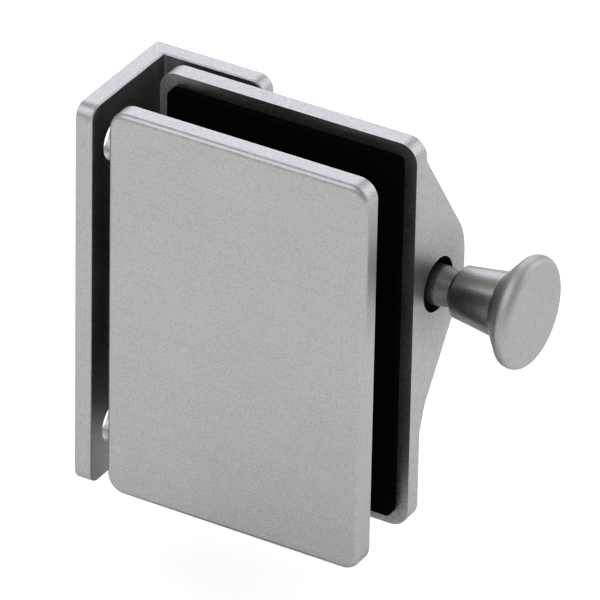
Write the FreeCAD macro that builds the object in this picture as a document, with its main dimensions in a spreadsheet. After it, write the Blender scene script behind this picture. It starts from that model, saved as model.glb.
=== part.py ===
import FreeCAD, Part
import math
import os
import re
import Sketcher

# Latch between a frameless glass gate and a square post.
# An L-shaped striker is screwed to the post. Two metal plates with rubber gaskets clamp the
# glass of the gate, and the rear plate carries a cast hump that guides a sprung round bolt.
# The bolt's half-round nose lies behind the striker's back leg; a pull knob draws it clear.
# Millimetres. The origin is the middle of the two screw holes on the post's side of the striker.
# +X runs from the post along the gate, +Y from the front plate to the hump, +Z is up.

os.makedirs("parts", exist_ok=True)
doc = FreeCAD.newDocument("GlassToPostLatch")
Vector = FreeCAD.Vector

SIZES = [
    # striker on the post
    ("bracket_height", 89.3),
    ("bracket_thickness", 4.0),
    ("side_leg_depth", 31.7),
    ("bracket_corner_radius", 3.2),
    ("bracket_bend_radius", 0.8),
    ("bracket_inner_radius", 0.6),
    ("bracket_edge_break", 0.4),
    ("post_hole_diameter", 9.0),
    ("post_hole_spacing", 67.2),
    ("post_hole_setback", 9.1),
    # clamp plates, gaskets and glass
    ("plate_width", 60.0),
    ("plate_height", 90.0),
    ("plate_corner_radius", 4.0),
    ("front_plate_thickness", 4.5),
    ("rear_plate_thickness", 4.3),
    ("front_edge_break", 1.25),
    ("rear_edge_break", 0.4),
    ("glass_thickness", 12.0),
    ("gasket_thickness", 1.8),
    ("gasket_margin", 2.8),
    ("gasket_corner_radius", 1.6),
    # running gaps between the striker and the gate's half, which sits a little higher
    ("gate_lift", 0.75),
    ("side_gap", 3.75),
    ("leg_end_gap", 2.0),
    ("closing_gap", 3.3),
    ("retention_gap", 0.4),
    # hump on the rear plate
    ("hump_width", 38.0),
    ("hump_top_margin", 4.9),
    ("hump_bottom_margin", 24.0),
    ("hump_crest_height", 11.2),
    ("hump_rise", 16.8),
    ("hump_shoulder_radius", 14.0),
    ("hump_toe_length", 3.1),
    ("hump_toe_rise", 1.7),
    ("hump_toe_radius", 8.0),
    ("hump_end_radius", 1.2),
    ("hump_root_radius", 2.0),
    # bolt and its bore
    ("bolt_axis_drop", 1.25),
    ("bolt_axis_offset", 5.8),
    ("bore_diameter", 12.0),
    ("bolt_clearance", 0.05),
    ("bolt_engagement", 11.0),
    ("bolt_travel", 12.0),
    ("bolt_guided_length", 11.0),
    ("nose_land", 0.8),
    ("nose_inset", 0.5),
    ("bolt_edge_break", 0.5),
    # guide screw and the slot that it runs in
    ("guide_screw_inset", 6.75),
    ("guide_screw_diameter", 5.0),
    ("guide_screw_recess", 0.7),
    ("guide_screw_socket", 2.5),
    ("guide_screw_socket_depth", 2.0),
    ("guide_dog_diameter", 3.0),
    ("guide_dog_length", 2.0),
    ("guide_slot_depth", 2.2),
    ("guide_slot_clearance", 0.1),
    # bush, washer and spring
    ("bush_length", 4.0),
    ("bush_recess", 3.0),
    ("bush_clearance", 0.05),
    ("press_gap", 0.01),
    ("washer_thickness", 0.8),
    ("washer_clearance", 0.2),
    ("spring_wire_diameter", 1.0),
    ("spring_mean_diameter", 10.3),
    ("spring_turns", 6.0),
    ("spring_end_pitch", 1.45),
    ("spring_seat_gap", 0.1),
    # pull stem
    ("stem_diameter", 8.6),
    ("stem_spigot_diameter", 5.0),
    ("stem_spigot_length", 8.0),
    ("stem_spigot_clearance", 0.05),
    ("stem_spigot_end_gap", 0.5),
    ("stem_standout", 4.15),
    ("stem_taper_length", 2.9),
    ("stem_neck_diameter", 7.5),
    ("stem_edge_break", 0.4),
    # pull knob
    ("knob_diameter", 24.0),
    ("knob_chamfer_length", 1.5),
    ("knob_neck_length", 9.5),
    ("knob_neck_diameter", 11.2),
    ("knob_root_diameter", 13.9),
    ("knob_flare_length", 4.2),
    ("knob_rim_width", 3.1),
    ("knob_rim_radius", 2.0),
    ("knob_edge_radius", 1.8),
    ("knob_screw_inset", 4.6),
    ("knob_screw_diameter", 4.0),
    ("knob_screw_recess", 0.5),
    ("knob_screw_socket", 2.0),
    ("knob_screw_socket_depth", 1.5),
    # clamp screws, bosses and glass sleeves
    ("clamp_screw_margin", 14.05),
    ("clamp_screw_inset", 25.0),
    ("clamp_screw_diameter", 6.0),
    ("clamp_screw_length", 16.0),
    ("clamp_head_diameter", 10.0),
    ("clamp_head_height", 4.0),
    ("clamp_head_break", 0.5),
    ("clamp_socket", 4.0),
    ("clamp_socket_depth", 2.3),
    ("clamp_hole_clearance", 0.3),
    ("clamp_recess_clearance", 0.5),
    ("boss_diameter", 12.0),
    ("boss_spigot_diameter", 8.0),
    ("boss_spigot_length", 2.6),
    ("boss_spigot_gap", 0.2),
    ("boss_setback", 0.8),
    ("boss_thread_spare", 2.0),
    ("thread_clearance", 0.05),
    ("sleeve_wall", 1.6),
    ("sleeve_clearance", 0.1),
    ("sleeve_end_gap", 0.2),
    ("gasket_hole_clearance", 0.3),
    ("gasket_screw_hole_clearance", 1.0),
]

# Places and fits worked out from the sizes
PLACES = [
    ("leg_back", "side_leg_depth - post_hole_setback"),
    ("leg_inner", "leg_back - bracket_thickness"),
    ("rear_back", "leg_inner - closing_gap"),
    ("rear_front", "rear_back - rear_plate_thickness"),
    ("front_back", "rear_front - glass_thickness - 2 * gasket_thickness"),
    ("plate_left", "bracket_thickness + side_gap"),
    ("plate_right", "plate_left + plate_width"),
    ("hump_left", "plate_right - hump_width"),
    ("hump_top", "plate_height / 2 - hump_top_margin"),
    ("hump_bottom", "hump_bottom_margin - plate_height / 2"),
    ("hump_centre_height", "(hump_top + hump_bottom) / 2"),
    ("hump_toe_end", "hump_bottom - hump_toe_length"),
    ("hump_slope_height", "hump_centre_height - hump_crest_height / 2 - hump_bottom"),
    ("hump_toe_top", "hump_bottom + hump_slope_height * hump_toe_rise / hump_rise"),
    ("back_leg_reach", "hump_left - leg_end_gap"),
    ("bolt_axis_height", "hump_centre_height - bolt_axis_drop"),
    ("bolt_level", "gate_lift + bolt_axis_height"),
    ("bolt_y", "rear_back + bolt_axis_offset"),
    ("bolt_diameter", "bore_diameter - 2 * bolt_clearance"),
    ("nose_tip", "back_leg_reach - bolt_engagement"),
    ("nose_flat", "leg_back + retention_gap - bolt_y"),
    ("nose_length", "hump_left + nose_inset - nose_tip"),
    ("bolt_length", "hump_left + bolt_guided_length - nose_tip"),
    ("bolt_end", "nose_tip + bolt_length"),
    ("guide_x", "hump_left + guide_screw_inset"),
    ("guide_slot_width", "guide_dog_diameter + 2 * guide_slot_clearance"),
    ("bush_inner", "plate_right - bush_recess - bush_length"),
    ("washer_inner", "bush_inner - washer_thickness"),
    ("stem_end", "plate_right + stem_standout"),
    ("guide_screw_length", "hump_rise - bolt_axis_offset - bore_diameter / 2 - guide_screw_recess"),
    ("knob_flare_start", "knob_chamfer_length + knob_neck_length"),
    ("knob_rim_start", "knob_flare_start + knob_flare_length"),
    ("knob_length", "knob_rim_start + knob_rim_width"),
    ("knob_neck_slope", "(knob_root_diameter - knob_neck_diameter) / 2 / knob_neck_length"),
    ("knob_radius_at_screw",
     "knob_neck_diameter / 2 + knob_neck_slope * (knob_screw_inset - knob_chamfer_length)"),
    ("knob_screw_length", "knob_radius_at_screw - stem_spigot_diameter / 2 - knob_screw_recess"),
    ("boss_bore_diameter", "clamp_screw_diameter + 2 * thread_clearance"),
    ("boss_length", "glass_thickness + gasket_thickness - boss_setback"),
    ("boss_thread_end", "rear_back - clamp_screw_length - boss_thread_spare - front_back"),
    ("sleeve_bore", "boss_diameter + 2 * sleeve_clearance"),
    ("screw_x", "plate_right - clamp_screw_inset"),
    ("screw_upper", "hump_top - clamp_screw_margin"),
    ("screw_lower", "hump_bottom + clamp_screw_margin"),
]

SHEET_OF = {name: "Sizes" for name, _ in SIZES} | {name: "Places" for name, _ in PLACES}


def bind(words):
    """A formula with each size and place named by its sheet"""
    return re.sub(r"[a-z]\w+", lambda found: named(found.group()), words)


def named(word):
    return f"{SHEET_OF[word]}.{word}" if word in SHEET_OF else word


def fill_sheet(title, rows, text_of):
    sheet = doc.addObject("Spreadsheet::Sheet", title)
    for row, (alias, content) in enumerate(rows, start=1):
        sheet.set(f"A{row}", alias)
        sheet.setAlias(f"B{row}", alias)
        sheet.set(f"B{row}", text_of(content))
    doc.recompute()
    return sheet


sizes = fill_sheet("Sizes", SIZES, str)
fill_sheet("Places", PLACES, lambda words: "=" + bind(words).replace("Places.", ""))


def number(words):
    """Present value of a formula over the two sheets"""
    return float(sizes.evalExpression(bind(words)))


def new_body(name, x="0", y="0", z="0"):
    body = doc.addObject("PartDesign::Body", name)
    body.Label = name
    for axis, words in (("x", x), ("y", y), ("z", z)):
        body.setExpression(f"Placement.Base.{axis}", bind(words))
    return body


def new_sketch(body, name, plane_role, lift="0"):
    """Sketch on one of the body's own planes, lifted along the plane's normal"""
    drawing = body.newObject("Sketcher::SketchObject", name)
    plane = next(item for item in body.Origin.OriginFeatures if item.Role == plane_role)
    drawing.AttachmentSupport = [(plane, "")]
    drawing.MapMode = "FlatFace"
    drawing.setExpression("AttachmentOffset.Base.z", bind(lift))
    return drawing


def hold(drawing, words, kind, *geometry):
    """Constraint whose value follows a formula"""
    index = drawing.addConstraint(Sketcher.Constraint(kind, *geometry, number(words)))
    drawing.setExpression(f"Constraints[{index}]", bind(words))


def hold_point(drawing, geometry, point, x, y):
    hold(drawing, x, "DistanceX", -1, 1, geometry, point)
    hold(drawing, y, "DistanceY", -1, 1, geometry, point)


def draw_polygon(drawing, corners):
    spots = [Vector(number(x), number(y), 0) for x, y in corners]
    first = drawing.GeometryCount
    for spot, following in zip(spots, spots[1:] + spots[:1]):
        drawing.addGeometry(Part.LineSegment(spot, following), False)
    for step, (x, y) in enumerate(corners):
        ahead = first + (step + 1) % len(corners)
        drawing.addConstraint(Sketcher.Constraint("Coincident", first + step, 2, ahead, 1))
        hold_point(drawing, first + step, 1, x, y)


def draw_circle(drawing, x, y, diameter):
    circle = Part.Circle(Vector(number(x), number(y), 0), Vector(0, 0, 1), number(diameter) / 2)
    index = drawing.addGeometry(circle, False)
    hold_point(drawing, index, 3, x, y)
    hold(drawing, diameter, "Diameter", index)


def draw_slot(drawing, start, end, y, width):
    """Slot with round ends whose centres lie at start and end"""
    radius = number(width) / 2
    left = Vector(number(start), number(y), 0)
    right = Vector(number(end), number(y), 0)
    side = Vector(0, radius, 0)
    up = Vector(0, 0, 1)
    quarter = math.pi / 2
    left_arc = drawing.addGeometry(
        Part.ArcOfCircle(Part.Circle(left, up, radius), quarter, 3 * quarter), False)
    right_arc = drawing.addGeometry(
        Part.ArcOfCircle(Part.Circle(right, up, radius), -quarter, quarter), False)
    top = drawing.addGeometry(Part.LineSegment(left + side, right + side), False)
    bottom = drawing.addGeometry(Part.LineSegment(left - side, right - side), False)
    joints = [(left_arc, 1, top, 1), (left_arc, 2, bottom, 1),
              (right_arc, 1, bottom, 2), (right_arc, 2, top, 2)]
    for joint in joints:
        drawing.addConstraint(Sketcher.Constraint("Tangent", *joint))
    drawing.addConstraint(Sketcher.Constraint("Equal", left_arc, right_arc))
    hold(drawing, f"{width} / 2", "Radius", left_arc)
    hold_point(drawing, left_arc, 3, start, y)
    hold_point(drawing, right_arc, 3, end, y)


def pad(body, drawing, length, reverse=False, both_ways=False):
    feature = body.newObject("PartDesign::Pad", f"{drawing.Name}_pad")
    feature.Profile = drawing
    feature.SideType = "Symmetric" if both_ways else "One side"
    feature.Reversed = reverse
    feature.setExpression("Length", bind(length))
    doc.recompute()


def pocket(body, drawing, depth=None, reverse=False, both_ways=False):
    """Cut along the sketch's normal, right through where no depth is given"""
    before = body.Shape.Volume
    feature = body.newObject("PartDesign::Pocket", f"{drawing.Name}_cut")
    feature.Profile = drawing
    feature.SideType = "Symmetric" if both_ways else "One side"
    feature.Reversed = reverse
    if depth:
        feature.setExpression("Length", bind(depth))
    else:
        feature.Type = "ThroughAll"
    doc.recompute()
    if body.Shape.Volume > before - 1e-3:
        raise RuntimeError(f"{feature.Name} takes nothing away")


def revolve(body, drawing, axis):
    feature = body.newObject("PartDesign::Revolution", f"{drawing.Name}_turn")
    feature.Profile = drawing
    feature.ReferenceAxis = (drawing, [axis])
    feature.Angle = 360
    doc.recompute()


def edges_where(shape, test):
    """Names of the shape's edges whose ends and middle pass the test"""
    names = []
    for index, edge in enumerate(shape.Edges, start=1):
        if edge.Degenerated:
            continue
        start, end = edge.ParameterRange
        spots = [edge.valueAt(place) for place in (start, (start + end) / 2, end)]
        if all(test(spot) for spot in spots):
            names.append(f"Edge{index}")
    return names


def round_edges(body, name, radius, test):
    base = body.Tip
    edges = edges_where(base.Shape, test)
    feature = body.newObject("PartDesign::Fillet", name)
    feature.Base = (base, edges)
    feature.setExpression("Radius", bind(radius))
    doc.recompute()
    if not edges or "Invalid" in feature.State:
        raise RuntimeError(f"{name} rounds nothing")


def same(value, words):
    return abs(value - number(words)) < 1e-4


def turned(name, corners, axis, x, y, z):
    """Body of revolution round its own X axis (H_Axis) or Y axis (V_Axis)"""
    body = new_body(name, x, y, z)
    drawing = new_sketch(body, f"{name}_profile", "XY_Plane")
    draw_polygon(drawing, corners)
    revolve(body, drawing, axis)
    return body


def hexagon(width):
    """Corners of a hexagon with the given width across its flats"""
    reach = f"{width} / sqrt(3)"
    half = f"{width} / 2"
    return [(reach, "0"), (f"{reach} / 2", half), (f"-{reach} / 2", half),
            (f"-{reach}", "0"), (f"-{reach} / 2", f"-{half}"), (f"{reach} / 2", f"-{half}")]


# Striker: an L of plate with two plain holes for the post screws
def make_striker():
    body = new_body("striker_bracket")
    profile = new_sketch(body, "striker_section", "XY_Plane")
    draw_polygon(profile, [
        ("0", "-post_hole_setback"),
        ("bracket_thickness", "-post_hole_setback"),
        ("bracket_thickness", "leg_inner"),
        ("back_leg_reach", "leg_inner"),
        ("back_leg_reach", "leg_back"),
        ("0", "leg_back"),
    ])
    pad(body, profile, "bracket_height", both_ways=True)

    def at_end(p):
        return same(abs(p.z), "bracket_height / 2")

    def depth(p):
        """Distance under the outer faces of the two legs, whichever is nearer"""
        return min(p.x, number("leg_back") - p.y)

    round_edges(body, "striker_bend", "bracket_bend_radius",
                lambda p: same(p.x, "0") and same(p.y, "leg_back"))
    round_edges(body, "striker_inside", "bracket_inner_radius",
                lambda p: same(p.x, "bracket_thickness") and same(p.y, "leg_inner"))
    round_edges(body, "striker_corners", "bracket_corner_radius",
                lambda p: at_end(p) and (same(p.y, "-post_hole_setback")
                                         or same(p.x, "back_leg_reach")))
    quarter = number("bracket_thickness / 4")
    round_edges(body, "striker_edges", "bracket_edge_break",
                lambda p: at_end(p) and abs(depth(p) - 2 * quarter) > quarter)
    holes = new_sketch(body, "post_holes", "YZ_Plane")
    for side in ("", "-"):
        draw_circle(holes, "0", f"{side}post_hole_spacing / 2", "post_hole_diameter")
    pocket(body, holes, both_ways=True)
    return body


# Clamp plates and gaskets share one outline and one pair of screw axes
def draw_plate(drawing, margin):
    left = f"{margin} - plate_width"
    right = f"-{margin}"
    top = f"plate_height / 2 - {margin}"
    bottom = f"{margin} - plate_height / 2"
    draw_polygon(drawing, [(left, bottom), (right, bottom), (right, top), (left, top)])


def draw_screw_circles(drawing, diameter):
    for level in ("screw_upper", "screw_lower"):
        draw_circle(drawing, "-clamp_screw_inset", level, diameter)


def round_plate_corners(body, margin, radius):
    round_edges(body, f"{body.Name}_corners", radius,
                lambda p: same(abs(p.z), f"plate_height / 2 - {margin}")
                and (same(p.x, f"-{margin}") or same(p.x, f"{margin} - plate_width")))


def make_front_plate():
    body = new_body("front_plate", "plate_right", "front_back", "gate_lift")
    outline = new_sketch(body, "front_outline", "XZ_Plane")
    draw_plate(outline, "0")
    pad(body, outline, "front_plate_thickness")
    round_plate_corners(body, "0", "plate_corner_radius")
    round_edges(body, "front_face_edge", "front_edge_break",
                lambda p: same(p.y, "-front_plate_thickness"))
    seats = new_sketch(body, "boss_seats", "XZ_Plane")
    draw_screw_circles(seats, "boss_spigot_diameter + 2 * press_gap")
    pocket(body, seats, "boss_spigot_length + boss_spigot_gap", reverse=True)
    return body


def make_gasket(name, y, hole):
    body = new_body(name, "plate_right", y, "gate_lift")
    outline = new_sketch(body, f"{name}_outline", "XZ_Plane")
    draw_plate(outline, "gasket_margin")
    draw_screw_circles(outline, hole)
    pad(body, outline, "gasket_thickness", reverse=True)
    round_plate_corners(body, "gasket_margin", "gasket_corner_radius")
    return body


# Latch body: the rear plate and the hump are one casting
def make_latch_body():
    body = new_body("latch_body", "plate_right", "rear_back", "gate_lift")
    outline = new_sketch(body, "rear_outline", "XZ_Plane")
    draw_plate(outline, "0")
    pad(body, outline, "rear_plate_thickness")
    round_plate_corners(body, "0", "plate_corner_radius")

    section = new_sketch(body, "hump_section", "YZ_Plane")
    draw_polygon(section, [
        ("-rear_plate_thickness / 2", "hump_top"),
        ("0", "hump_top"),
        ("hump_rise", "hump_centre_height + hump_crest_height / 2"),
        ("hump_rise", "hump_centre_height - hump_crest_height / 2"),
        ("hump_toe_rise", "hump_toe_top"),
        ("0", "hump_toe_end"),
        ("-rear_plate_thickness / 2", "hump_toe_end"),
    ])
    pad(body, section, "hump_width", reverse=True)
    round_edges(body, "hump_shoulders", "hump_shoulder_radius",
                lambda p: same(p.y, "hump_rise")
                and same(abs(p.z - number("hump_centre_height")), "hump_crest_height / 2"))
    round_edges(body, "hump_toe", "hump_toe_radius",
                lambda p: same(p.y, "hump_toe_rise") and same(p.z, "hump_toe_top"))
    round_edges(body, "hump_end", "hump_end_radius",
                lambda p: same(p.x, "-hump_width") and p.y > -1e-4 and not same(p.y, "0"))
    round_edges(body, "hump_root", "hump_root_radius",
                lambda p: same(p.y, "0") and under_hump(p))
    round_edges(body, "rear_edges", "rear_edge_break", on_rear_outline)

    bore = new_sketch(body, "bolt_bore", "YZ_Plane")
    draw_circle(bore, "bolt_axis_offset", "bolt_axis_height", "bore_diameter")
    pocket(body, bore, "hump_width + hump_root_radius")

    recesses = new_sketch(body, "screw_recesses", "XZ_Plane")
    draw_screw_circles(recesses, "clamp_head_diameter + 2 * clamp_recess_clearance")
    pocket(body, recesses)
    holes = new_sketch(body, "screw_holes", "XZ_Plane")
    draw_screw_circles(holes, "clamp_screw_diameter + 2 * clamp_hole_clearance")
    pocket(body, holes, reverse=True)
    guide = new_sketch(body, "guide_hole", "XZ_Plane", "-bolt_axis_offset")
    draw_circle(guide, "guide_screw_inset - hump_width", "bolt_axis_height",
                "guide_screw_diameter + 2 * thread_clearance")
    pocket(body, guide)
    return body


def under_hump(p):
    """Within the rectangle that the hump's section and width cover on the plate"""
    return (p.x > -number("hump_width") - 1e-4
            and number("hump_toe_end") - 1e-4 < p.z < number("hump_top") + 1e-4)


def on_rear_outline(p):
    """On the outline of the rear plate's back or of the hump's flush side"""
    flush_side = same(p.x, "0") and p.y > -1e-4
    back_edge = same(p.y, "0") and (
        same(p.x, "-plate_width") or same(abs(p.z), "plate_height / 2"))
    return flush_side or back_edge


# Bolt: a round bar with a half-round nose, bevelled so that it springs back on closing
def make_bolt():
    body = turned("latch_bolt", [
        ("0", "0"),
        ("0", "bolt_diameter / 2 - bolt_edge_break"),
        ("bolt_edge_break", "bolt_diameter / 2"),
        ("bolt_length - bolt_edge_break", "bolt_diameter / 2"),
        ("bolt_length", "bolt_diameter / 2 - bolt_edge_break"),
        ("bolt_length", "stem_spigot_diameter / 2 + stem_spigot_clearance"),
        ("bolt_length - stem_spigot_length - stem_spigot_end_gap",
         "stem_spigot_diameter / 2 + stem_spigot_clearance"),
        ("bolt_length - stem_spigot_length - stem_spigot_end_gap", "0"),
    ], "H_Axis", "nose_tip", "bolt_y", "bolt_level")
    flat = new_sketch(body, "nose_flat_cut", "XY_Plane")
    draw_polygon(flat, [
        ("-bolt_diameter", "-bolt_diameter"), ("nose_length", "-bolt_diameter"),
        ("nose_length", "nose_flat"), ("-bolt_diameter", "nose_flat"),
    ])
    pocket(body, flat, both_ways=True)
    bevel = new_sketch(body, "nose_bevel", "XY_Plane")
    draw_polygon(bevel, [
        ("-bolt_diameter", "nose_flat + nose_land - bolt_diameter"),
        ("bolt_diameter", "nose_flat + nose_land + bolt_diameter"),
        ("-bolt_diameter", "nose_flat + nose_land + bolt_diameter"),
    ])
    pocket(body, bevel, both_ways=True)
    slot = new_sketch(body, "guide_slot", "XZ_Plane", "guide_slot_depth - bolt_diameter / 2")
    draw_slot(slot, "guide_x - nose_tip - bolt_travel", "guide_x - nose_tip", "0",
              "guide_slot_width")
    pocket(body, slot)
    return body


def make_guide_screw():
    body = turned("guide_screw", [
        ("0", "-guide_dog_length"),
        ("guide_dog_diameter / 2", "-guide_dog_length"),
        ("guide_dog_diameter / 2", "0"),
        ("guide_screw_diameter / 2", "0"),
        ("guide_screw_diameter / 2", "guide_screw_length"),
        ("0", "guide_screw_length"),
    ], "V_Axis", "guide_x", "bolt_y + bore_diameter / 2", "bolt_level")
    socket = new_sketch(body, "guide_socket", "XZ_Plane", "-guide_screw_length")
    draw_polygon(socket, hexagon("guide_screw_socket"))
    pocket(body, socket, "guide_screw_socket_depth", reverse=True)
    return body


def make_washer():
    return turned("thrust_washer", [
        ("0", "stem_diameter / 2 + washer_clearance"),
        ("0", "bore_diameter / 2 - washer_clearance"),
        ("washer_thickness", "bore_diameter / 2 - washer_clearance"),
        ("washer_thickness", "stem_diameter / 2 + washer_clearance"),
    ], "H_Axis", "washer_inner", "bolt_y", "bolt_level")


def make_bush():
    return turned("rod_bush", [
        ("0", "stem_diameter / 2 + bush_clearance"),
        ("0", "bore_diameter / 2 - press_gap"),
        ("bush_length", "bore_diameter / 2 - press_gap"),
        ("bush_length", "stem_diameter / 2 + bush_clearance"),
    ], "H_Axis", "bush_inner", "bolt_y", "bolt_level")


# Stem: the rod from the bolt to the knob, waisted where it enters the knob
def make_stem():
    spigot = "stem_spigot_diameter / 2"
    rod = "stem_diameter / 2"
    taper_start = "stem_end - bolt_end - stem_taper_length"
    knob_end = "stem_end - bolt_end"
    return turned("pull_stem", [
        ("-stem_spigot_length", "0"),
        ("-stem_spigot_length", f"{spigot} - stem_edge_break"),
        ("stem_edge_break - stem_spigot_length", spigot),
        ("0", spigot),
        ("0", f"{rod} - stem_edge_break"),
        ("stem_edge_break", rod),
        (taper_start, rod),
        (knob_end, "stem_neck_diameter / 2"),
        (knob_end, spigot),
        (f"{knob_end} + stem_spigot_length - stem_edge_break", spigot),
        (f"{knob_end} + stem_spigot_length", f"{spigot} - stem_edge_break"),
        (f"{knob_end} + stem_spigot_length", "0"),
    ], "H_Axis", "bolt_end", "bolt_y", "bolt_level")


# Knob: a flared neck under a flat disc with a rounded rim
def make_knob():
    bore = "stem_spigot_diameter / 2 + stem_spigot_clearance"
    bore_depth = "stem_spigot_length + stem_spigot_end_gap"
    body = turned("pull_knob", [
        ("0", bore),
        ("0", "stem_neck_diameter / 2"),
        ("knob_chamfer_length", "knob_neck_diameter / 2"),
        ("knob_flare_start", "knob_root_diameter / 2"),
        ("knob_rim_start", "knob_diameter / 2"),
        ("knob_length", "knob_diameter / 2"),
        ("knob_length", "0"),
        (bore_depth, "0"),
        (bore_depth, bore),
    ], "H_Axis", "stem_end", "bolt_y", "bolt_level")
    round_edges(body, "knob_rim", "knob_rim_radius", lambda p: same(p.x, "knob_rim_start"))
    round_edges(body, "knob_edge", "knob_edge_radius", lambda p: same(p.x, "knob_length"))
    hole = new_sketch(body, "knob_screw_hole", "XZ_Plane")
    draw_circle(hole, "knob_screw_inset", "0", "knob_screw_diameter + 2 * thread_clearance")
    pocket(body, hole)
    return body


def make_knob_screw():
    radius = "knob_screw_diameter / 2"
    body = turned("knob_set_screw", [
        ("0", "0"),
        (radius, "0"),
        (radius, "knob_screw_length"),
        ("0", "knob_screw_length"),
    ], "V_Axis", "stem_end + knob_screw_inset", "bolt_y + stem_spigot_diameter / 2",
        "bolt_level")
    socket = new_sketch(body, "knob_socket", "XZ_Plane", "-knob_screw_length")
    draw_polygon(socket, hexagon("knob_screw_socket"))
    pocket(body, socket, "knob_screw_socket_depth", reverse=True)
    return body


# Clamp: a boss stands on the front plate, passes the glass in a sleeve, and takes a cap screw
def make_clamp(level):
    height = f"gate_lift + screw_{level}"
    thread = "boss_bore_diameter / 2"
    boss = turned(f"clamp_boss_{level}", [
        ("0", "-boss_spigot_length"),
        ("boss_spigot_diameter / 2", "-boss_spigot_length"),
        ("boss_spigot_diameter / 2", "0"),
        ("boss_diameter / 2", "0"),
        ("boss_diameter / 2", "boss_length"),
        (thread, "boss_length"),
        (thread, "boss_thread_end"),
        ("0", "boss_thread_end"),
    ], "V_Axis", "screw_x", "front_back", height)
    sleeve = turned(f"glass_sleeve_{level}", [
        ("sleeve_bore / 2", "sleeve_end_gap"),
        ("sleeve_bore / 2 + sleeve_wall", "sleeve_end_gap"),
        ("sleeve_bore / 2 + sleeve_wall", "glass_thickness - sleeve_end_gap"),
        ("sleeve_bore / 2", "glass_thickness - sleeve_end_gap"),
    ], "V_Axis", "screw_x", "front_back + gasket_thickness", height)
    screw = turned(f"clamp_screw_{level}", [
        ("0", "-clamp_screw_length"),
        ("clamp_screw_diameter / 2 - clamp_head_break", "-clamp_screw_length"),
        ("clamp_screw_diameter / 2", "clamp_head_break - clamp_screw_length"),
        ("clamp_screw_diameter / 2", "0"),
        ("clamp_head_diameter / 2", "0"),
        ("clamp_head_diameter / 2", "clamp_head_height - clamp_head_break"),
        ("clamp_head_diameter / 2 - clamp_head_break", "clamp_head_height"),
        ("0", "clamp_head_height"),
    ], "V_Axis", "screw_x", "rear_back", height)
    socket = new_sketch(screw, f"clamp_socket_{level}", "XZ_Plane", "-clamp_head_height")
    draw_polygon(socket, hexagon("clamp_socket"))
    pocket(screw, socket, "clamp_socket_depth", reverse=True)
    return [boss, sleeve, screw]


# Spring: a compression coil round the stem, with a close turn at each end
def coil_height(turn):
    """Distance along the axis after so many turns, from the wire's centre at the bolt's end"""
    turns = number("spring_turns")
    end_pitch = number("spring_end_pitch")
    span = number("washer_inner - bolt_end - 2 * spring_seat_gap - spring_wire_diameter")
    open_pitch = (span - 2 * end_pitch) / (turns - 2)
    if turn < 1:
        return turn * end_pitch
    if turn > turns - 1:
        return span - (turns - turn) * end_pitch
    return end_pitch + (turn - 1) * open_pitch


def coil_point(turn):
    radius = number("spring_mean_diameter / 2")
    angle = 2 * math.pi * turn
    start = number("spring_seat_gap + spring_wire_diameter / 2")
    return Vector(start + coil_height(turn), radius * math.cos(angle), radius * math.sin(angle))


def coil_direction(turn):
    step = 0.25
    rise = (coil_height(turn + step) - coil_height(turn - step)) / (2 * step)
    across = number("spring_mean_diameter") * math.pi
    angle = 2 * math.pi * turn
    along = Vector(rise, -across * math.sin(angle), across * math.cos(angle))
    return along.normalize()


def arc_middle(start, direction, end):
    """Middle of the arc that leaves start along the direction and reaches end"""
    chord = end - start
    way = Vector(chord).normalize()
    aside = direction - way * direction.dot(way)
    half_turn = math.atan2(aside.Length, direction.dot(way))
    lift = chord.Length / 2 * math.tan(half_turn / 2)
    return (start + end) * 0.5 + aside.normalize() * lift


def twin_arcs(start, leaving, end, arriving):
    """Two arcs that meet at a shared tangent between two points of the coil"""
    chord = end - start
    along = chord.dot(leaving + arriving)
    spread = 2 * (1 - leaving.dot(arriving))
    reach = (math.sqrt(along ** 2 + spread * chord.dot(chord)) - along) / spread
    joint = (start + leaving * reach + end - arriving * reach) * 0.5
    first = Part.Arc(start, arc_middle(start, leaving, joint), joint)
    second = Part.Arc(joint, arc_middle(end, arriving * -1, joint), end)
    return [first.toShape(), second.toShape()]


def make_spring():
    half_turns = [step / 2 for step in range(int(2 * number("spring_turns")) + 1)]
    edges = []
    for here, there in zip(half_turns, half_turns[1:]):
        edges += twin_arcs(coil_point(here), coil_direction(here),
                           coil_point(there), coil_direction(there))
    path = Part.Wire(edges)
    wire_radius = number("spring_wire_diameter / 2")
    ring = Part.Circle(coil_point(0), coil_direction(0), wire_radius)
    coil = path.makePipeShell([Part.Wire([ring.toShape()])], True, False)
    spring = doc.addObject("Part::Feature", "bolt_spring")
    spring.Label = "bolt_spring"
    spring.Shape = coil
    spring.Placement.Base = Vector(number("bolt_end"), number("bolt_y"), number("bolt_level"))
    wound = math.pi * wire_radius ** 2 * path.Length
    print(f"bolt_spring volume {coil.Volume:.2f}, wire section times length {wound:.2f}")
    return spring


PIECES = [
    make_striker(),
    make_front_plate(),
    make_gasket("front_gasket", "front_back", "boss_diameter + 2 * gasket_hole_clearance"),
    make_latch_body(),
    make_gasket("rear_gasket", "rear_front - gasket_thickness",
                "clamp_screw_diameter + 2 * gasket_screw_hole_clearance"),
    *make_clamp("upper"),
    *make_clamp("lower"),
    make_bush(),
    make_washer(),
    make_guide_screw(),
    make_bolt(),
    make_stem(),
    make_knob(),
    make_knob_screw(),
    make_spring(),
]

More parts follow.
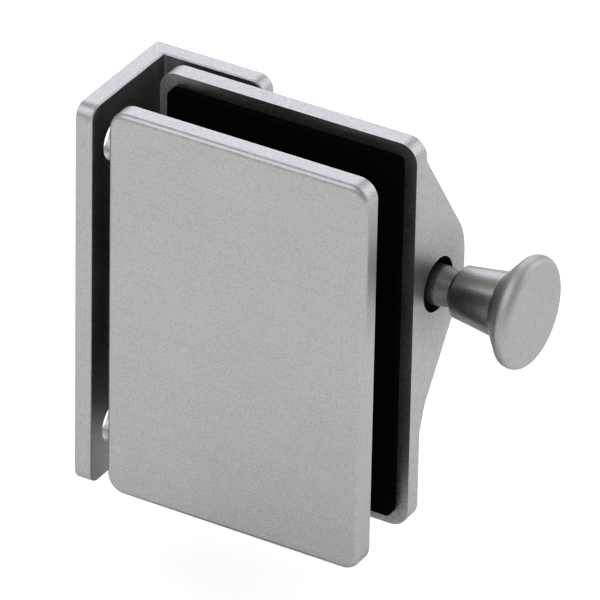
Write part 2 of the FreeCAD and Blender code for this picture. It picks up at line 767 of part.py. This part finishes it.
doc.recompute()
for item in doc.Objects:
    if "Invalid" in item.State or "Error" in item.State:
        raise RuntimeError(f"{item.Name} failed: {item.State}")
for piece in PIECES:
    if piece.Shape.isNull() or not piece.Shape.isValid():
        raise RuntimeError(f"{piece.Label} has no valid shape")
for piece in PIECES:
    piece.Shape.exportStep(f"parts/{piece.Label}.step")
    box = piece.Shape.BoundBox
    print(f"{piece.Label}: {len(piece.Shape.Solids)} solid, {piece.Shape.Volume:.0f} mm3, "
          f"X {box.XMin:.2f} {box.XMax:.2f}, Y {box.YMin:.2f} {box.YMax:.2f}, "
          f"Z {box.ZMin:.2f} {box.ZMax:.2f}")
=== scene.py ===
import math

import bpy
from mathutils import Matrix, Vector


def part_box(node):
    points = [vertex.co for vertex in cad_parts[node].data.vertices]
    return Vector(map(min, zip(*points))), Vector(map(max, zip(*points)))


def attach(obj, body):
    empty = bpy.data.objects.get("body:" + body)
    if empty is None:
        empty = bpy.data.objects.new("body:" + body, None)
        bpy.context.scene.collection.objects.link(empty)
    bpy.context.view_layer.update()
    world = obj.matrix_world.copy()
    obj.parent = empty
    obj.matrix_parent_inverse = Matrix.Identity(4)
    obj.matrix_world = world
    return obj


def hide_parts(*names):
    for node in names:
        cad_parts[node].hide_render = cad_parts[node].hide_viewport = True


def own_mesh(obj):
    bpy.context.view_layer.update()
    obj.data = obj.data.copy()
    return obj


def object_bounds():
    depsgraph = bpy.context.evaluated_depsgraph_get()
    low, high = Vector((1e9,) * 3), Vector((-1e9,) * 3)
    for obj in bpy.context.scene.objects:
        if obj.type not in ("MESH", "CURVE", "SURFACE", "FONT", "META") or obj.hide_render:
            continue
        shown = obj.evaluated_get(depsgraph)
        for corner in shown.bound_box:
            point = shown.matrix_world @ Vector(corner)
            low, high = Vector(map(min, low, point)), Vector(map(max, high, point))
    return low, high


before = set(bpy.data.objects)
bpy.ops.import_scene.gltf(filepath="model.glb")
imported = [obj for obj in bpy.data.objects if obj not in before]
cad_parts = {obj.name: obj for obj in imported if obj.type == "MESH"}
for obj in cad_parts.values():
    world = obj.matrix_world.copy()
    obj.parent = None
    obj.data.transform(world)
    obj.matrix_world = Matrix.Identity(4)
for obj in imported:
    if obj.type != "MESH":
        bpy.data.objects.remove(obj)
cad_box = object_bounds()


# Striker bracket: an L of 4 mm stainless plate with two plain holes, screwed to the gate post.
# It is laser cut, bent and bead blasted, which leaves a fine even grain and slightly bright edges.
satin_steel = (0.62, 0.613, 0.6)
striker_roughness = 0.36
# Share of painted shade taken off the striker's colour in its corners and gaps
striker_painted_shade = 0.15
blast_pit_size = 0.00034
blast_pit_depth = 0.000016
pit_tint = 0.15
cloud_tint = 0.02
cloud_roughness = 0.02
rub_tint = 0.12
blast_rub_polish = 0.08
flat_likeness = 0.999
edge_likeness = 0.9


def add(tree, kind, inputs=None, **settings):
    """New node whose inputs take plain values or other nodes' outputs"""
    node = tree.nodes.new(kind)
    for name, value in settings.items():
        setattr(node, name, value)
    for socket, value in (inputs or {}).items():
        if isinstance(value, bpy.types.NodeSocket):
            tree.links.new(value, node.inputs[socket])
        else:
            node.inputs[socket].default_value = value
    return node


def calculate(tree, operation, *values):
    """Output of one math node on numbers or outputs"""
    return add(tree, "ShaderNodeMath", dict(enumerate(values)), operation=operation).outputs[0]


def sum_of(tree, *terms):
    """Output that adds up the terms, which are numbers or outputs"""
    total = terms[0]
    for term in terms[1:]:
        total = calculate(tree, "ADD", total, term)
    return total


def shares_of(tree, *parts):
    """Output that adds up a share of each output"""
    return sum_of(tree, *(calculate(tree, "MULTIPLY", output, share) for output, share in parts))


def spread(tree, value, low, high, out_low, out_high):
    """Output that carries a value from one range to another and stays within it"""
    return add(tree, "ShaderNodeMapRange", {
        "Value": value, "From Min": low, "From Max": high, "To Min": out_low, "To Max": out_high,
    }).outputs["Result"]


def even_noise(tree, **inputs):
    """Noise carried from the range where most of it lies to between -1 and 1"""
    dimensions = "1D" if "W" in inputs else "3D"
    noise = add(tree, "ShaderNodeTexNoise", inputs, noise_dimensions=dimensions)
    return spread(tree, noise.outputs[0], 0.3, 0.7, -1.0, 1.0)


def new_effect(name, inputs, outputs):
    """Shader node group with named number inputs and named number outputs"""
    effect = bpy.data.node_groups.new(name, "ShaderNodeTree")
    for label, value in inputs.items():
        socket = effect.interface.new_socket(label, in_out="INPUT", socket_type="NodeSocketFloat")
        socket.default_value = value
    for label in outputs:
        effect.interface.new_socket(label, in_out="OUTPUT", socket_type="NodeSocketFloat")
    return effect, effect.nodes.new("NodeGroupInput").outputs, effect.nodes.new("NodeGroupOutput")


def place(tree, effect, **amounts):
    """The effect placed in a material with its own amounts"""
    node = tree.nodes.new("ShaderNodeGroup")
    node.node_tree = effect
    for label, value in amounts.items():
        node.inputs[label.replace("_", " ")].default_value = value
    return node.outputs


def make_blasted_grain():
    """Fine pits left by the blasting beads, with broad clouds where the blast lay thicker"""
    effect, given, leave = new_effect(
        "blasted grain", {"pit size": blast_pit_size, "cloud size": 0.012}, ["pits", "clouds"])
    where = add(effect, "ShaderNodeTexCoord").outputs["Object"]
    for label, size, detail in (("pits", "pit size", 3.0), ("clouds", "cloud size", 2.0)):
        scale = calculate(effect, "DIVIDE", 1.0, given[size])
        effect.links.new(even_noise(effect, Vector=where, Scale=scale, Detail=detail), leave.inputs[label])
    return effect


def make_rubbed_edges():
    """Mask that rises on edges, where handling polishes the finish"""
    effect, given, leave = new_effect("rubbed edges", {"width": 0.0004}, ["rub"])
    rounded = add(effect, "ShaderNodeBevel", {"Radius": given["width"]}, samples=6)
    flat = add(effect, "ShaderNodeNewGeometry").outputs["Normal"]
    likeness = add(effect, "ShaderNodeVectorMath",
                   {0: rounded.outputs["Normal"], 1: flat}, operation="DOT_PRODUCT").outputs["Value"]
    effect.links.new(spread(effect, likeness, flat_likeness, edge_likeness, 0.0, 1.0),
                     leave.inputs["rub"])
    return effect


def make_recess_shade():
    """Mask that is 1 deep in corners and narrow gaps, where little light reaches; taken off a base colour,
    it paints shade there
    """
    effect, given, leave = new_effect(
        "recess shade", {"reach": 0.018, "full below": 0.2, "none above": 0.9}, ["shade"])
    openness = add(effect, "ShaderNodeAmbientOcclusion", {"Distance": given["reach"]}, samples=8)
    shade = spread(effect, openness.outputs["AO"], given["full below"], given["none above"], 1.0, 0.0)
    effect.links.new(shade, leave.inputs["shade"])
    return effect


blasted_grain = make_blasted_grain()
rubbed_edges = make_rubbed_edges()
recess_shade = make_recess_shade()


def new_finish(name, colour, roughness, metallic=1.0):
    """Material with one Principled shader, ready for its own nodes"""
    material = bpy.data.materials.new(name)
    material.use_nodes = True
    tree = material.node_tree
    shader = tree.nodes["Principled BSDF"]
    shader.inputs["Base Color"].default_value = (*colour, 1.0)
    shader.inputs["Roughness"].default_value = roughness
    shader.inputs["Metallic"].default_value = metallic
    return material, tree, shader


def tint(tree, shader, *parts):
    """Lighten or darken the shader's base colour by shares of some outputs"""
    colour = tuple(shader.inputs["Base Color"].default_value)
    share = sum_of(tree, 1.0, shares_of(tree, *parts))
    scaled = add(tree, "ShaderNodeVectorMath", {0: colour[:3], "Scale": share}, operation="SCALE")
    tree.links.new(scaled.outputs[0], shader.inputs["Base Color"])


def roughen(tree, shader, *parts):
    """Change the shader's roughness by shares of some outputs"""
    base = shader.inputs["Roughness"].default_value
    tree.links.new(sum_of(tree, base, shares_of(tree, *parts)), shader.inputs["Roughness"])


def relief(tree, shader, height, depth):
    """Surface relief from a height between -1 and 1, at a depth in metres"""
    bump = add(tree, "ShaderNodeBump", {"Height": height, "Distance": depth, "Strength": 1.0})
    tree.links.new(bump.outputs["Normal"], shader.inputs["Normal"])


def blasted_steel(name, roughness, pit_size, painted_shade_share):
    material, tree, shader = new_finish(name, satin_steel, roughness)
    grain = place(tree, blasted_grain, pit_size=pit_size)
    rub = place(tree, rubbed_edges)["rub"]
    # Painted shade: the base colour is darkened in corners and gaps, where little light reaches
    shade = place(tree, recess_shade)["shade"]
    tint(tree, shader, (grain["pits"], pit_tint), (grain["clouds"], cloud_tint), (rub, rub_tint),
         (shade, -painted_shade_share))
    roughen(tree, shader, (grain["clouds"], cloud_roughness), (rub, -blast_rub_polish))
    relief(tree, shader, grain["pits"], blast_pit_depth)
    return material


def dress(node, finish):
    """Give a solid piece its finish"""
    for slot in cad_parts[node].material_slots:
        slot.material = finish


dress("striker_bracket",
      blasted_steel("blasted striker", striker_roughness, blast_pit_size, striker_painted_shade))


# Front clamp plate: 4.5 mm stainless plate with softly broken edges, the face of the gate side.
# Its broad face is linished along its width before a light blast, so faint lines show in the grain.
front_roughness = 0.36
# Share of painted shade taken off the plate's and the casting's colour in corners and gaps
recess_painted_shade = 0.85
line_height = 0.00018
line_length = 0.014
pits_in_texture = 0.85
lines_in_texture = 0.25
texture_tint = 0.17
line_roughness = 0.03
light_rub_polish = 0.06


def make_linished_lines():
    """Long fine scratches along X from the belt, with a few deeper ones"""
    effect, given, leave = new_effect(
        "linished lines", {"line height": line_height, "line length": line_length}, ["lines"])
    where = add(effect, "ShaderNodeTexCoord").outputs["Object"]
    across = calculate(effect, "DIVIDE", 1.0, given["line height"])
    along = calculate(effect, "DIVIDE", 1.0, given["line length"])
    stretch = add(effect, "ShaderNodeCombineXYZ", {"X": along, "Y": across, "Z": across})
    place_on_belt = add(effect, "ShaderNodeVectorMath",
                        {0: where, 1: stretch.outputs[0]}, operation="MULTIPLY").outputs[0]
    lines = even_noise(effect, Vector=place_on_belt, Scale=1.0, Detail=4.0, Roughness=0.6)
    effect.links.new(lines, leave.inputs["lines"])
    return effect


linished_lines = make_linished_lines()


def linished_steel(name, roughness):
    material, tree, shader = new_finish(name, satin_steel, roughness)
    grain = place(tree, blasted_grain, cloud_size=0.02)
    lines = place(tree, linished_lines)["lines"]
    rub = place(tree, rubbed_edges)["rub"]
    # Painted shade: the base colour is darkened in corners and gaps, where little light reaches
    shade = place(tree, recess_shade)["shade"]
    texture = shares_of(tree, (grain["pits"], pits_in_texture), (lines, lines_in_texture))
    tint(tree, shader, (texture, texture_tint), (grain["clouds"], cloud_tint), (rub, rub_tint),
         (shade, -recess_painted_shade))
    roughen(tree, shader, (lines, line_roughness), (rub, -light_rub_polish))
    relief(tree, shader, texture, blast_pit_depth)
    return material


dress("front_plate", linished_steel("linished front plate", front_roughness))


# Gaskets: two sheets of black rubber, cut a little smaller than the plates, that grip the glass.
# The sheet is dead matt, with a fine grain.
rubber_black = (0.002, 0.002, 0.002)
rubber_roughness = 0.95
rubber_sheen = 0.02
rubber_pit_tint = 0.25
rubber_cloud_roughness = 0.05


def sheet_rubber():
    material, tree, shader = new_finish("black sheet rubber", rubber_black, rubber_roughness, metallic=0.0)
    shader.inputs["Specular IOR Level"].default_value = rubber_sheen
    grain = place(tree, blasted_grain, pit_size=0.0005, cloud_size=0.008)
    tint(tree, shader, (grain["pits"], rubber_pit_tint))
    roughen(tree, shader, (grain["clouds"], rubber_cloud_roughness))
    relief(tree, shader, grain["pits"], depth=0.00003)
    return material


rubber = sheet_rubber()
dress("front_gasket", rubber)
dress("rear_gasket", rubber)


# Clamp bosses and glass sleeves: turned stainless bosses stand on the front plate inside nylon tubes.
# The tubes keep the metal off the edge of the holes in the glass.
boss_steel = (0.58, 0.577, 0.57)
boss_roughness = 0.35
nylon_white = (0.78, 0.77, 0.72)
nylon_roughness = 0.5
nylon_cloud_tint = 0.03
plain_pit_tint = 0.04
plain_rub_tint = 0.15
plain_cloud_roughness = 0.04


def plain_steel(name, colour, roughness):
    """Smooth steel as turned, rolled or drawn, with hardly any grain"""
    material, tree, shader = new_finish(name, colour, roughness)
    grain = place(tree, blasted_grain, pit_size=0.0003, cloud_size=0.006)
    rub = place(tree, rubbed_edges, width=0.0003)["rub"]
    tint(tree, shader, (grain["pits"], plain_pit_tint), (rub, plain_rub_tint))
    roughen(tree, shader, (grain["clouds"], plain_cloud_roughness))
    relief(tree, shader, grain["pits"], depth=0.000006)
    return material


def nylon():
    material, tree, shader = new_finish("natural nylon", nylon_white, nylon_roughness, metallic=0.0)
    grain = place(tree, blasted_grain, pit_size=0.0008, cloud_size=0.005)
    tint(tree, shader, (grain["clouds"], nylon_cloud_tint))
    relief(tree, shader, grain["pits"], depth=0.00001)
    return material


boss_finish = plain_steel("turned boss", boss_steel, boss_roughness)
sleeve_finish = nylon()
for level in ("upper", "lower"):
    dress(f"clamp_boss_{level}", boss_finish)
    dress(f"glass_sleeve_{level}", sleeve_finish)


# Latch body: the rear clamp plate and the bolt's hump, one stainless casting, bored and blasted.
# The blast is coarser than on the plates.
cast_roughness = 0.38
cast_pit_size = 0.0004

dress("latch_body", blasted_steel("blasted casting", cast_roughness, cast_pit_size, recess_painted_shade))


# Screws: plain stainless clamp screws in the hump's recesses, the bolt's guide screw and thrust washer.
# They keep the dull sheen of rolled and pickled stock.
stock_steel = (0.58, 0.575, 0.565)
screw_roughness = 0.35

screw_finish = plain_steel("plain screw", stock_steel, screw_roughness)
for node in ("clamp_screw_upper", "clamp_screw_lower", "guide_screw", "thrust_washer"):
    dress(node, screw_finish)


# Stem bush: a ring of black acetal pressed into the hump's bore, in which the pull stem runs.
# Only its recessed end shows, as a dark ring round the stem.
acetal_black = (0.008, 0.008, 0.008)
acetal_roughness = 0.55
acetal_sheen = 0.3
acetal_pit_roughness = 0.05


def black_acetal():
    material, tree, shader = new_finish("black acetal", acetal_black, acetal_roughness, metallic=0.0)
    shader.inputs["Specular IOR Level"].default_value = acetal_sheen
    grain = place(tree, blasted_grain, pit_size=0.0003, cloud_size=0.004)
    roughen(tree, shader, (grain["pits"], acetal_pit_roughness))
    relief(tree, shader, grain["pits"], depth=0.000008)
    return material


dress("rod_bush", black_acetal())


# Bolt, stem and knob: turned stainless bar on one axis; the stem screws into the bolt and the knob.
# The knob's neck stays as turned, its disc is blasted dull, and its rim is bright where fingers rub.
# The stem's colour is darker than the other steel, as painted shade
shaded_stem_steel = (0.5, 0.494, 0.484)
bolt_roughness = 0.3
stem_roughness = 0.4
knob_roughness = 0.3
disc_thickness = 0.0055
disc_blend = 0.0008
disc_dullness = 0.2
# Share of painted shade taken off the turned parts' colour in hollows and near other parts
turned_painted_shade = 0.6
mark_roughness = 0.02
mark_depth = 0.000008
off_the_piece = 1.0


def make_turning_marks():
    """Fine rings round the bolt's own axis, as the lathe tool leaves them on faces and sides"""
    effect, given, leave = new_effect(
        "turning marks", {"feed": 0.00022, "axis y": 0.0, "axis z": 0.0}, ["marks"])
    where = add(effect, "ShaderNodeTexCoord").outputs["Object"]
    parts = add(effect, "ShaderNodeSeparateXYZ", {0: where}).outputs
    aside = calculate(effect, "SUBTRACT", parts["Y"], given["axis y"])
    above = calculate(effect, "SUBTRACT", parts["Z"], given["axis z"])
    radius = calculate(effect, "SQRT", shares_of(effect, (aside, aside), (above, above)))
    travel = calculate(effect, "ADD", radius, parts["X"])
    turns = calculate(effect, "DIVIDE", travel, given["feed"])
    effect.links.new(even_noise(effect, W=turns, Scale=1.0, Detail=2.0), leave.inputs["marks"])
    return effect


turning_marks = make_turning_marks()


def turned_steel(name, colour, roughness, feed, marks_share, disc_start=off_the_piece):
    """Turned steel, duller from the place along X where the knob's disc starts"""
    material, tree, shader = new_finish(name, colour, roughness)
    low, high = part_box("pull_stem")
    axis = (low + high) / 2
    grain = place(tree, blasted_grain, cloud_size=0.006)
    marks = place(tree, turning_marks, feed=feed, axis_y=axis.y, axis_z=axis.z)["marks"]
    rub = place(tree, rubbed_edges, width=0.0005)["rub"]
    # Painted shade: the base colour is darkened in hollows and near other parts, where little light
    # reaches, such as the knob's neck
    shade = place(tree, recess_shade, reach=0.03, full_below=0.5, none_above=0.92)["shade"]
    where = add(tree, "ShaderNodeTexCoord").outputs["Object"]
    along = add(tree, "ShaderNodeSeparateXYZ", {0: where}).outputs["X"]
    disc = spread(tree, along, disc_start - disc_blend, disc_start + disc_blend, 0.0, 1.0)
    texture = shares_of(tree, (grain["pits"], 1.0 - marks_share), (marks, marks_share))
    tint(tree, shader, (texture, pit_tint), (rub, rub_tint), (shade, -turned_painted_shade))
    roughen(tree, shader, (marks, mark_roughness), (rub, -light_rub_polish), (disc, disc_dullness))
    relief(tree, shader, texture, mark_depth)
    return material


knob_disc_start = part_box("pull_knob")[1].x - disc_thickness
dress("latch_bolt",
      turned_steel("ground bolt", stock_steel, bolt_roughness, feed=0.0003, marks_share=0.6))
dress("pull_stem",
      turned_steel("turned stem", shaded_stem_steel, stem_roughness, feed=0.00025, marks_share=0.15))
dress("pull_knob",
      turned_steel("turned knob", satin_steel, knob_roughness, feed=0.0003, marks_share=0.1,
                   disc_start=knob_disc_start))
dress("knob_set_screw", screw_finish)


# Bolt spring: stainless music wire wound round the stem with a close turn at each end, left as drawn.
# It pushes the bolt out behind the striker, and closes up against the washer as the knob is pulled.
wire_steel = (0.5, 0.497, 0.49)
wire_roughness = 0.3
wire_thickness = 0.001
coil_turns = 6
close_pitch = 0.00145
steps_in_turn = 24
wire_sides = 10
spring_low, spring_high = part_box("bolt_spring")
spring_length = spring_high.x - spring_low.x


def coil_height(turn):
    """Distance along the axis after so many turns, from the wire's centre at the bolt's end"""
    open_pitch = (spring_length - wire_thickness - 2 * close_pitch) / (coil_turns - 2)
    close_turns = min(turn, 1) + max(turn - coil_turns + 1, 0)
    return close_turns * close_pitch + (turn - close_turns) * open_pitch


def wire_ring(turn):
    """Points round the wire after so many turns"""
    axis = (spring_low + spring_high) / 2
    radius = (spring_high.z - spring_low.z - wire_thickness) / 2
    outward = Vector((0.0, math.cos(2 * math.pi * turn), math.sin(2 * math.pi * turn)))
    start = spring_low.x + wire_thickness / 2
    centre = Vector((start + coil_height(turn), axis.y, axis.z)) + outward * radius
    ring = []
    for side in range(wire_sides):
        angle = 2 * math.pi * side / wire_sides
        way = outward * math.cos(angle) + Vector((math.sin(angle), 0.0, 0.0))
        ring.append(centre + way * wire_thickness / 2)
    return ring


def make_coil():
    points, faces = wire_ring(0), [tuple(range(wire_sides))]
    for step in range(1, coil_turns * steps_in_turn + 1):
        start = len(points)
        points += wire_ring(step / steps_in_turn)
        for side in range(wire_sides):
            here, beside = start + side, start + (side + 1) % wire_sides
            faces.append((here, beside, beside - wire_sides, here - wire_sides))
    faces.append(tuple(reversed(range(len(points) - wire_sides, len(points)))))
    mesh = bpy.data.meshes.new("spring_coil")
    mesh.from_pydata(points, [], faces)
    mesh.materials.append(plain_steel("drawn spring wire", wire_steel, wire_roughness))
    for face in mesh.polygons[1:-1]:
        face.use_smooth = True
    coil = bpy.data.objects.new("spring_coil", mesh)
    bpy.context.scene.collection.objects.link(coil)
    return coil


coil = make_coil()
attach(coil, "bolt")
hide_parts("bolt_spring")
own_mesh(coil)


# Floor: a broad pale floor well under the latch, lit plainly, white to the camera.
# It is no part of the latch and keeps the latch's shadow; in reflections a painted shadow deepens it. From
# below the camera looks through it.
floor_grey = (0.82, 0.82, 0.82)
floor_roughness = 0.9
floor_drop = 0.022
floor_reach = 6.0
floor_glow = 0.53
reflected_glow = 0.05
painted_reflected_shadow = 0.9


def make_floor():
    mesh = bpy.data.meshes.new("floor")
    height = cad_box[0][2] - floor_drop
    corners = [(-floor_reach, -floor_reach), (floor_reach, -floor_reach),
               (floor_reach, floor_reach), (-floor_reach, floor_reach)]
    mesh.from_pydata([(x, y, height) for x, y in corners], [], [(0, 1, 2, 3)])
    floor = bpy.data.objects.new("floor", mesh)
    bpy.context.scene.collection.objects.link(floor)
    material, tree, shader = new_finish("pale floor", floor_grey, floor_roughness, metallic=0.0)
    shader.inputs["Specular IOR Level"].default_value = 0.0
    shader.inputs["Emission Color"].default_value = (1.0, 1.0, 1.0, 1.0)
    path = add(tree, "ShaderNodeLightPath").outputs
    # Painted shadow: only in reflections, the floor's colour is darkened near and under the latch
    shade = place(tree, recess_shade, reach=0.07, full_below=0.63)["shade"]
    tint(tree, shader, (calculate(tree, "MULTIPLY", shade, path["Is Glossy Ray"]), -painted_reflected_shadow))
    glow = shares_of(tree, (path["Is Camera Ray"], floor_glow), (path["Is Transmission Ray"], floor_glow),
                     (path["Is Glossy Ray"], reflected_glow))
    tree.links.new(glow, shader.inputs["Emission Strength"])
    underside = add(tree, "ShaderNodeNewGeometry").outputs["Backfacing"]
    from_below = calculate(tree, "MULTIPLY", underside, path["Is Camera Ray"])
    tree.links.new(spread(tree, from_below, 0.0, 1.0, 1.0, 0.0), shader.inputs["Alpha"])
    mesh.materials.append(material)


make_floor()


# Light: a white room that the steel sees as dim, with three large cool panels in it: behind at the
# left, behind at the right, and high in front. Two weak soft boxes stand before the left panels.
left_behind = (-0.43, 0.74, 0.52)
right_behind = (0.52, 0.74, 0.43)
high_in_front = (-0.43, -0.52, 0.74)
panels = ((left_behind, 15, 26), (right_behind, 16, 27), (high_in_front, 18, 29))
panel_colour = (0.96, 0.96, 1.11)
dim_colour = (0.36, 0.355, 0.345)
room_white = 0.85
seen_white = 1.0
soft_box_power = 0.1
soft_box_colour = (0.5, 0.55, 1.0)
middle = (Vector(cad_box[0]) + Vector(cad_box[1])) / 2


def make_room():
    """Each panel is a direction, and the angles at which its light starts and ends to fade"""
    world = bpy.data.worlds.new("white room")
    bpy.context.scene.world = world
    world.use_nodes = True
    tree = world.node_tree
    direction = add(tree, "ShaderNodeTexCoord").outputs["Generated"]
    panel_share = 0.0
    for towards, inner, outer in panels:
        likeness = add(tree, "ShaderNodeVectorMath",
                       {0: direction, 1: towards}, operation="DOT_PRODUCT").outputs["Value"]
        share = spread(tree, likeness,
                       math.cos(math.radians(outer)), math.cos(math.radians(inner)), 0.0, 1.0)
        panel_share = calculate(tree, "MAXIMUM", panel_share, share)
    lit = add(tree, "ShaderNodeVectorMath", {0: panel_colour, "Scale": panel_share}, operation="SCALE")
    lit = add(tree, "ShaderNodeVectorMath", {0: lit.outputs[0], 1: dim_colour}, operation="ADD")
    path = add(tree, "ShaderNodeLightPath").outputs
    seen = sum_of(tree, path["Is Camera Ray"], path["Is Transmission Ray"])
    plain = spread(tree, seen, 0.0, 1.0, room_white, seen_white)
    colour = add(tree, "ShaderNodeMix", {"Factor": path["Is Glossy Ray"]}, data_type="VECTOR")
    tree.links.new(plain, colour.inputs["A"])
    tree.links.new(lit.outputs[0], colour.inputs["B"])
    tree.links.new(colour.outputs["Result"], tree.nodes["Background"].inputs["Color"])


def soft_box(name, offset, width):
    """Square lamp that stands off the middle of the latch and faces it"""
    lamp = bpy.data.lights.new(name, "AREA")
    lamp.shape = "SQUARE"
    lamp.size = width
    lamp.energy = soft_box_power
    lamp.color = soft_box_colour
    holder = bpy.data.objects.new(name, lamp)
    holder.location = middle + Vector(offset)
    holder.rotation_euler = (-Vector(offset)).to_track_quat("-Z", "Y").to_euler()
    bpy.context.scene.collection.objects.link(holder)


make_room()
soft_box("soft box behind", (-0.52, 0.89, 0.62), 0.9)
soft_box("soft box in front", (-0.52, -0.62, 0.89), 0.6)


# Camera: a long lens from the front left, above, with the slight tilt of the photograph.
camera_turn = math.radians(29.95)
camera_rise = math.radians(31.16)
camera_roll = math.radians(1.11)
camera_distance = 1.673
camera_lens = 494.4
camera_sensor = 36.0
camera_sight = 50.0
aim_left = 0.0037
aim_up = 0.00177


def make_camera():
    level = Vector((math.cos(camera_turn), math.sin(camera_turn), 0.0))
    back = Vector((math.sin(camera_turn) * math.cos(camera_rise),
                   -math.cos(camera_turn) * math.cos(camera_rise), math.sin(camera_rise)))
    over = back.cross(level)
    right = level * math.cos(camera_roll) + over * math.sin(camera_roll)
    up = over * math.cos(camera_roll) - level * math.sin(camera_roll)
    lens = bpy.data.cameras.new("camera")
    lens.lens = camera_lens
    lens.sensor_width = camera_sensor
    lens.sensor_fit = "HORIZONTAL"
    lens.clip_end = camera_sight
    camera = bpy.data.objects.new("camera", lens)
    pose = Matrix((right, up, back)).transposed().to_4x4()
    pose.translation = middle - level * aim_left + over * aim_up + back * camera_distance
    camera.matrix_world = pose
    bpy.context.scene.collection.objects.link(camera)
    bpy.context.scene.camera = camera


make_camera()
bpy.context.scene.view_settings.view_transform = "Standard"
